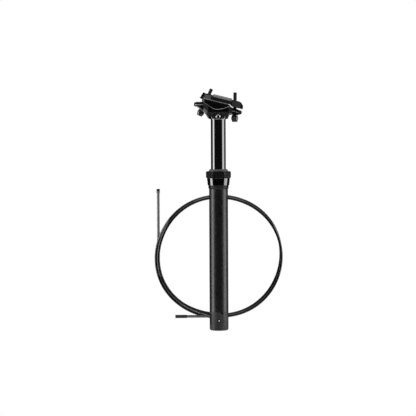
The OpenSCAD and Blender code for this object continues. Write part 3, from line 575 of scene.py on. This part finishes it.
# ---------------------------------------------------------------- saddle clamp
# Outlines (x, z) in the clamp's own place, the y of the faces they lie on, and their edge loops
FLANGE_Y, BOSS_Y = 27.0, 9.5
LENS = [(-20.6, -3.5), (15.2, -3.5), (18.6, -5.0), (20.2, -6.2), (17.4, -7.2), (10.3, -12.0),
        (4.6, -14.5), (2.2, -15.2), (-0.6, -15.6), (-3.4, -15.3), (-5.6, -14.7), (-19.4, -9.6)]
REAR_PAD = [(-22.6, -4.4), (-20.6, 2.9), (-9.2, 2.9), (-9.2, -4.4)]
FRONT_PAD = [(20.2, -4.6), (20.2, 3.0), (29.8, 3.0), (32.6, 2.3), (34.2, 0.0), (34.4, -5.0)]
# The second and third strips of each rim take the paler edge metal: painted highlight along the
# rims.
LENS_LEVELS = [(0, -0.6), (0, 0.05), (0.5, 0.5), (1.0, 0.05), (1.3, -0.05)]
PAD_LEVELS = [(0, -0.3), (0, 0.15), (0.3, 0.3), (0.6, 0.3)]
JAW_RIDGE_X, JAW_RIDGE_Y, JAW_RIDGE_Z, JAW_RIDGE_R = (-7.8, 18.8), 24.3, 3.75, 0.6
# The rear pads' pale grey and the front pads' grey are painted light, for boss faces lit from above
# and in front.
for side, end in SIDES:
    rimmed_plate("lens_rim_" + end, LENS, side, FLANGE_Y, LENS_LEVELS, "lower_cradle",
                 [MAT["forged"], MAT["edge"]], plain=len(LENS) - 1)
    rimmed_plate("rear_pad_" + end, REAR_PAD, side, BOSS_Y, PAD_LEVELS, "upper_clamp",
                 [MAT["pad"], MAT["edge"]])
    rimmed_plate("front_pad_" + end, FRONT_PAD, side, BOSS_Y, PAD_LEVELS, "upper_clamp",
                 [MAT["boss"], MAT["edge"]])
# A pale metal bead along the top of each jaw: painted highlight.
for side, end in SIDES:
    rod("jaw_ridge_" + end,
        [in_clamp(x, side * JAW_RIDGE_Y, JAW_RIDGE_Z) for x in between(*JAW_RIDGE_X, 12)],
        JAW_RIDGE_R, "upper_clamp", MAT["bright_edge"])

# ---------------------------------------------------------------- yoke
# The yoke's outlines from above, in front and at the side, as in part.scad
WING_HALF, BLOCK_HALF, RIB_HALF = 8.6, 15.5, 6.5
REAR_ROUND, REAR_FLARE, REAR_FLARE_LEN = -26.6, -21.0, 6.5
FRONT_ROUND, FRONT_FLARE, FRONT_FLARE_LEN = 25.4, 20.0, 5.5
RIB_TOP, RIB_SLOPE = 3.4, 9.0 / 7.6
REAR_TIP, REAR_TIP_R = (-31.8, 21.9), 3.4
REAR_ARCH, REAR_ARCH_R = (-45.6, -12.5), 34.7
FRONT_ARCH, FRONT_ARCH_R, FRONT_LOW = (21.1, 1.9), 6.9, 6.8
ALL_HEIGHTS = 99.0


def yoke_half(x, z):
    """Half of the yoke's thickness at a place of its side, from its plan and front outlines."""
    if x < REAR_ROUND or x > FRONT_ROUND:
        away = REAR_ROUND - x if x < 0 else x - FRONT_ROUND
        plan = math.sqrt(max(0.0, WING_HALF ** 2 - away ** 2))
    else:
        share = (x - REAR_FLARE) / REAR_FLARE_LEN if x < 0 else (FRONT_FLARE - x) / FRONT_FLARE_LEN
        plan = WING_HALF + max(0.0, share) * (BLOCK_HALF - WING_HALF)
    return min(plan, RIB_HALF + max(0.0, z - RIB_TOP) * RIB_SLOPE, BLOCK_HALF)


def yoke_line(side, points, sunk=0.1, rise=0.0):
    """Places (x, z) on a side of the yoke, a little sunk into it."""
    return [Vector((x, side * (yoke_half(x, z) - sunk), Z_CROWN + z + rise)) for x, z in points]


def run(x0, z0, x1, z1):
    """Places (x, z) along a straight line."""
    return list(zip(between(x0, x1, 8), between(z0, z1, 8)))


def arc(centre, radius, first, last, count, top=ALL_HEIGHTS):
    """Places (x, z) along an arc, cut off at a height."""
    turns = [rad(a) for a in between(first, last, count)]
    return [(centre[0] + radius * math.cos(a), min(top, centre[1] + radius * math.sin(a)))
            for a in turns]


BAND_PROUD, BAND_SUNK, BAND_STEPS = 0.12, 0.3, 16
SHARES = between(0, 1, BAND_STEPS)
REAR_BAND_FROM, REAR_BAND_TO, REAR_BAND_INSET, REAR_BAND_WIDTH = 57, 27, 0.9, 3.2
FRONT_BAND_FROM, FRONT_BAND_TO, FRONT_BAND_INSET, FRONT_BAND_WIDTH = 155, 100, 0.4, 1.6
FRONT_BAND_LEAN = 0.6


def yoke_band(name, side, low, high, look):
    """A thin band, a painted highlight, that lies on a side of the yoke, between two lines of
    places.
    """
    mesh = bmesh.new()
    rings = []
    for a, b in zip(low, high):
        corners = [(a, BAND_PROUD), (b, BAND_PROUD), (b, -BAND_SUNK), (a, -BAND_SUNK)]
        rings.append([mesh.verts.new(Vector((x, side * (yoke_half(x, z) + lift), Z_CROWN + z)))
                      for (x, z), lift in corners])
    skin(mesh, rings)
    return mesh_piece(name, mesh, "head_yoke", [look], 40)


def swell(t, lead, span):
    """How wide a band is at a share of its length, against its widest."""
    return math.sin(math.pi * (lead + span * t))


# Pale metal lips on the wings, the arches and the crown's foot, and bands over the arches: painted
# highlights where those places catch the light
CROWN_CORNER_X, CROWN_CORNER_Y = (-9.4, 9.2), 7.3
CROWN_CORNER_Z, CROWN_CORNER_R = (0.9, 2.0, 3.1, 4.2), 0.7
CROWN_R = 11.6
REAR_TOP_LIP = arc(REAR_TIP, REAR_TIP_R - 0.25, 140, 90, 12) + run(-31.0, 25.05, -22.6, 25.1)
FRONT_GROOVE_LIP = [(19.4, 12.6), (22.0, 11.8), (26.0, 10.6), (29.8, 9.2)]
for side, end in SIDES:
    rod("rear_groove_lip_" + end, yoke_line(side, run(-32.2, 21.3, -21.2, 21.3)), 0.6,
        "head_yoke", MAT["bright_edge"])
    rod("rear_top_lip_" + end, yoke_line(side, REAR_TOP_LIP), 0.5, "head_yoke",
        MAT["bright_edge"])
    rod("front_groove_lip_" + end, yoke_line(side, FRONT_GROOVE_LIP), 0.45, "head_yoke",
        MAT["bright_edge"])
    rod("rear_arch_lip_" + end,
        yoke_line(side, arc(REAR_ARCH, REAR_ARCH_R, 62.3, 25.2, 18), 0.3, 0.3), 0.95,
        "head_yoke", MAT["arch_painted_highlight"])
    rod("front_arch_lip_" + end,
        yoke_line(side, arc(FRONT_ARCH, FRONT_ARCH_R, 90, 165, 12, FRONT_LOW), 0.2, 0.2), 0.6,
        "head_yoke", MAT["arch_painted_highlight"])
    turns = [rad(a) for a in between(REAR_BAND_FROM, REAR_BAND_TO, BAND_STEPS)]
    widths = [REAR_BAND_WIDTH * swell(t, 0.1, 0.85) for t in SHARES]
    inner = arc(REAR_ARCH, REAR_ARCH_R + REAR_BAND_INSET, REAR_BAND_FROM, REAR_BAND_TO,
                BAND_STEPS)
    outer = [(x + w * math.cos(a), z + w * math.sin(a))
             for (x, z), a, w in zip(inner, turns, widths)]
    yoke_band("rear_flank_band_" + end, side, inner, outer, MAT["flank"])
    inner = arc(FRONT_ARCH, FRONT_ARCH_R + FRONT_BAND_INSET, FRONT_BAND_FROM, FRONT_BAND_TO,
                BAND_STEPS, FRONT_LOW + FRONT_BAND_INSET)
    outer = [(x - FRONT_BAND_LEAN * t,
              z + FRONT_BAND_INSET + FRONT_BAND_WIDTH * swell(t, 0.2, 0.7))
             for (x, z), t in zip(inner, SHARES)]
    yoke_band("front_flank_band_" + end, side, inner, outer, MAT["pad"])
    for x, which in zip(CROWN_CORNER_X, ("rear", "front")):
        rod("crown_corner_%s_%s" % (which, end),
            [Vector((x, side * CROWN_CORNER_Y, Z_CROWN + z)) for z in CROWN_CORNER_Z],
            CROWN_CORNER_R, "head_yoke", MAT["bright_edge"])
# A pale metal ring round the crown's foot: painted highlight.
crown_lip = bmesh.new()
lathe(crown_lip, torus_profile(CROWN_R - 0.1, 0.65, 0.75), Matrix.Translation((0, 0, Z_CROWN)),
      72, closed=True)
mesh_piece("crown_lip", crown_lip, "head_yoke", [MAT["bright_edge"]], 60)

# Cross pin with a round socket in each rounded end, closed in the middle; heights from the face
PIN_H = 4.6
PIN_FACE = CROWN_R + 0.25
PIN_END = [(2.5, 0.9), (3.2, 0.85), (3.45, 0.6), (3.3, 0.25), (3.0, 0.02), (2.7, 0), (2.3, 0.2),
           (1.95, 0.6)]
PIN_SOCKET = [(1.95, 0.6), (1.8, 0.9), (1.8, 3.6), (0, 3.9)]
pin = bmesh.new()
for side, end in SIDES:
    place = Matrix.Translation((0, 0, Z_CROWN + PIN_H)) @ Matrix.Rotation(rad(90 * side), 4, "X")
    lathe(pin, [(2.5, 0)] + [(r, h - PIN_FACE) for r, h in PIN_END], place, 48)
    # The socket's walls are black steel: painted shade in the hole.
    lathe(pin, [(r, h - PIN_FACE) for r, h in PIN_SOCKET], place, 48, slot=1)
pin_piece = mesh_piece("cross_pin_finished", pin, "cross_pin",
                       [MAT["steel"], MAT["steel_black"]], 40)
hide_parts("cross_pin")

# ---------------------------------------------------------------- cap
# Set screw with a pale patch in its domed end, and a black piece in the locking notch, painted
# shade in its depth
Z_SCREW = -189.5
SCREW = [(0, 8.4), (1.5, 8.4), (1.5, 12.3), (1.2, 12.75), (0.85, 12.95), (0.6, 12.7),
         (0.55, 11.4), (0, 11.2)]
SCREW_PATCH = [(0.95, 12.3), (1.0, 12.9), (0.85, 13.1), (0, 13.2)]
screw_place = Matrix.Translation((0, 0, Z_SCREW)) @ Matrix.Rotation(rad(90), 4, "X")
screw = bmesh.new()
lathe(screw, SCREW, screw_place, 32)
screw_piece = mesh_piece("set_screw_finished", screw, "set_screw", [MAT["steel"]], 50)
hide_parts("set_screw")
patch = bmesh.new()
lathe(patch, SCREW_PATCH, screw_place, 24)
mesh_piece("set_screw_patch", patch, "set_screw", [MAT["screw_patch"]], 60)

# A black piece filling the notch: painted shade in the recess.
NOTCH_SHADE = [(-1.3, -1.6), (1.4, -1.4), (1.7, 1.1), (0.3, 1.9), (-1.5, 0.8)]
SHADE_FOOT, SHADE_FACE, SHADE_TAPER = -0.6, 0.5, 0.9
shade_place = (Matrix.Rotation(rad(-70), 4, "Z") @ Matrix.Translation((13.2, 0, -178.9))
             @ Matrix.Rotation(rad(25), 4, "X"))
notch = bmesh.new()
skin(notch, [[notch.verts.new(shade_place @ Vector((x, y * scale, z * scale)))
              for y, z in NOTCH_SHADE] for x, scale in ((SHADE_FOOT, 1), (SHADE_FACE, SHADE_TAPER))])
mesh_piece("notch_painted_shade", notch, "actuator_cap", [MAT["steel_black"]], 30)

# ---------------------------------------------------------------- on the housings
# Crimp ring of the upper ferrule, with the bare end of the jacket below it
JACKET_END = [(2.0, -0.05), (2.45, -0.02), (2.45, 0.95), (2.3, 1.2)]
crimp = bmesh.new()
lathe(crimp, torus_profile(2.35, 0.5, 1.5), Matrix.Translation(a_top), 32, closed=True)
lathe(crimp, JACKET_END, Matrix.Translation(a_top), 32, slot=1)
crimp_piece = mesh_piece("ferrule_a_crimp", crimp, "ferrule_a_top",
                         [MAT["bright_edge"], MAT["pad"]], 40)

# ---------------------------------------------------------------- valve spring and bolt threads
# The pin presses the spring against its fixed upper end
SPRING_R, SPRING_WIRE, SPRING_TURNS, TURN_STEPS = 2.3, 0.3, 5, 24
SPRING_LOW, SPRING_HIGH, PIN_STROKE = -163.8, -157.8, 1.515
heights = between(SPRING_LOW + SPRING_WIRE, SPRING_HIGH - SPRING_WIRE, TURN_STEPS * SPRING_TURNS)
coils = []
for i, height in enumerate(heights):
    angle = rad(360 / TURN_STEPS * i)
    coils.append(Vector((SPRING_R * math.cos(angle), SPRING_R * math.sin(angle), height)))
spring_piece = rod("valve_spring_wire", coils, SPRING_WIRE, "valve_spring", MAT["steel"],
                   sides=10)
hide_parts("valve_spring")
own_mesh(spring_piece)

# The finished bolts' shanks are cut down, and a threaded sleeve lies over each
THREAD_PITCH, THREAD_FROM, THREAD_TO = 0.8, 2.0, 32.6
THREAD_CREST, THREAD_ROOT, SHANK_R, HEAD_TOP = 2.62, 2.28, 2.2, 0.6
THREAD_SIDES, PITCH_ROWS = 20, 5
BOLT_PLACE = {
    "rear_bolt": ((12 - 35.2, 0, Z_CROWN + 13.9), 24.964),
    "front_bolt": ((34 - 10.2, 0, Z_CROWN + 5.7), 1.129),
}


def cut_shank(bolt, place):
    back_in = place.inverted()
    for vertex in bolt.data.vertices:
        local = back_in @ (vertex.co / MM)
        reach = math.hypot(local.x, local.y)
        if local.z > HEAD_TOP and reach > SHANK_R:
            shrink = SHANK_R / reach
            vertex.co = (place @ Vector((local.x * shrink, local.y * shrink, local.z))) * MM


def thread(mesh, place):
    """Rings whose radius goes up and down once a pitch, and fades at both ends."""
    count = round((THREAD_TO - THREAD_FROM) / THREAD_PITCH * PITCH_ROWS)
    rings = []
    for row, height in enumerate(between(THREAD_FROM, THREAD_TO, count)):
        fade = min(1.0, (row + 1) / PITCH_ROWS, (count - row + 1) / PITCH_ROWS)
        ring = []
        for k, (c, s) in enumerate(circle(THREAD_SIDES)):
            wave = abs(((height / THREAD_PITCH - k / THREAD_SIDES) % 1) * 2 - 1)
            radius = THREAD_ROOT + (THREAD_CREST - THREAD_ROOT) * wave * fade
            ring.append(mesh.verts.new(place @ Vector((radius * c, radius * s, height))))
        rings.append(ring)
    skin(mesh, rings)


for node_name, (dome, lean) in BOLT_PLACE.items():
    bolt_place = Matrix.Translation(dome) @ Matrix.Rotation(rad(lean), 4, "Y")
    cut_shank(finished[node_name], bolt_place)
    sleeve = bmesh.new()
    thread(sleeve, bolt_place)
    mesh_piece(node_name + "_thread", sleeve, node_name, [MAT["forged"]], 70)


# ---------------------------------------------------------------- light
def softbox(name, azimuth, distance, width, height, level, z):
    """A tall lamp at an azimuth from the camera's side, positive to the right."""
    data = bpy.data.lights.new(name, "AREA")
    data.shape = "RECTANGLE"
    data.size = width
    data.size_y = height
    data.energy = level * width * height
    lamp = bpy.data.objects.new(name, data)
    scene.collection.objects.link(lamp)
    lamp.location = (distance * math.sin(rad(azimuth)), -distance * math.cos(rad(azimuth)), z)
    aim = Vector((0, 0, z)) - lamp.location
    lamp.rotation_mode = "QUATERNION"
    lamp.rotation_quaternion = aim.to_track_quat("-Z", "Y")
    return lamp


softbox("left_box", azimuth=-79, distance=1.3, width=0.62, height=1.3, level=16, z=-0.1)
softbox("right_box", azimuth=81, distance=1.3, width=0.88, height=1.3, level=11, z=-0.1)
softbox("rim_box", azimuth=152, distance=1.6, width=0.25, height=2.4, level=1.6, z=0.0)
top_box = softbox("top_box", azimuth=0, distance=0.0, width=1.4, height=1.2, level=6, z=1.4)
top_box.rotation_quaternion = (1, 0, 0, 0)  # it looks straight down

# ---------------------------------------------------------------- world
# Shiny faces see the white backdrop behind the object, and a dark room that is paler overhead
WHITE = (1, 1, 1, 1)
BACKDROP_EDGE, BACKDROP_FULL = 0.975, 0.999
ROOM_LOW, ROOM_HIGH, ROOM_DARK, ROOM_PALE = 0.0, 0.8, 0.02, 0.6
SOFT_SKY, SEEN_SKY = 0.3, 1.0

world = bpy.data.worlds.new("studio")
scene.world = world
world.use_nodes = True
tree = world.node_tree
tree.nodes.clear()
out = tree.nodes.new("ShaderNodeOutputWorld")
path = tree.nodes.new("ShaderNodeLightPath")
where = tree.nodes.new("ShaderNodeTexCoord")
axes = tree.nodes.new("ShaderNodeSeparateXYZ")
tree.links.new(where.outputs["Generated"], axes.inputs["Vector"])
room = map_range(tree, axes.outputs["Z"], ROOM_LOW, ROOM_HIGH, ROOM_DARK, ROOM_PALE,
                 "SMOOTHSTEP")
backdrop = map_range(tree, axes.outputs["Y"], BACKDROP_EDGE, BACKDROP_FULL,
                     curve="SMOOTHSTEP")
mirror_sky, soft_sky, seen_sky = [tree.nodes.new("ShaderNodeBackground") for _ in range(3)]
for sky in (mirror_sky, soft_sky, seen_sky):
    sky.inputs["Color"].default_value = WHITE
tree.links.new(combine(tree, "MAXIMUM", room, backdrop), mirror_sky.inputs["Strength"])
soft_sky.inputs["Strength"].default_value = SOFT_SKY
seen_sky.inputs["Strength"].default_value = SEEN_SKY
shiny = combine(tree, "MAXIMUM", path.outputs["Is Glossy Ray"],
                path.outputs["Is Transmission Ray"])
lit = mix_shaders(tree, shiny, soft_sky.outputs[0], mirror_sky.outputs[0])
shown = mix_shaders(tree, path.outputs["Is Camera Ray"], lit, seen_sky.outputs[0])
tree.links.new(shown, out.inputs["Surface"])

# ---------------------------------------------------------------- floor
# It keeps the shadow near the object and is white further out, for the rays that see it; shiny
# faces see that white behind the object only, where the backdrop is. From below it is clear.
FLOOR_Z, FLOOR_R, FLOOR_SIDES = -0.62, 7.0, 96
PAPER, PAPER_ROUGH = (0.9, 0.9, 0.9, 1), 0.9
FADE_FROM, FADE_TO = 0.7, 1.5

floor_mesh = bpy.data.meshes.new("floor")
floor_mesh.from_pydata([(FLOOR_R * c, FLOOR_R * s, FLOOR_Z) for c, s in circle(FLOOR_SIDES)], [],
                       [tuple(range(FLOOR_SIDES))])
floor = bpy.data.objects.new("floor", floor_mesh)
scene.collection.objects.link(floor)
floor_mat = bpy.data.materials.new("pale_floor")
floor_mat.use_nodes = True
tree = floor_mat.node_tree
paper = tree.nodes["Principled BSDF"]
paper.inputs["Base Color"].default_value = PAPER
paper.inputs["Roughness"].default_value = PAPER_ROUGH
clear = tree.nodes.new("ShaderNodeBsdfTransparent")
face_side = tree.nodes.new("ShaderNodeNewGeometry")
glow = tree.nodes.new("ShaderNodeEmission")
seen = tree.nodes.new("ShaderNodeLightPath")
where = tree.nodes.new("ShaderNodeTexCoord")
length = tree.nodes.new("ShaderNodeVectorMath")
length.operation = "LENGTH"
split = tree.nodes.new("ShaderNodeSeparateXYZ")
tree.links.new(where.outputs["Object"], length.inputs[0])
tree.links.new(where.outputs["Object"], split.inputs["Vector"])
far = length.outputs["Value"]
fade = map_range(tree, far, FADE_FROM, FADE_TO, curve="SMOOTHSTEP")
toward = combine(tree, "DIVIDE", split.outputs["Y"], far)
behind = map_range(tree, toward, BACKDROP_EDGE, BACKDROP_FULL, curve="SMOOTHSTEP")
shiny = combine(tree, "MAXIMUM", seen.outputs["Is Glossy Ray"],
                seen.outputs["Is Transmission Ray"])
any_ray = combine(tree, "MAXIMUM", shiny, seen.outputs["Is Camera Ray"])
white = combine(tree, "MAXIMUM", seen.outputs["Is Camera Ray"], behind)
tree.links.new(white, glow.inputs["Strength"])
near_mix = mix_shaders(tree, combine(tree, "MULTIPLY", any_ray, fade), paper.outputs[0],
                       glow.outputs[0])
both_sides = mix_shaders(tree, face_side.outputs["Backfacing"], near_mix, clear.outputs[0])
tree.links.new(both_sides, tree.nodes["Material Output"].inputs["Surface"])
floor.data.materials.append(floor_mat)
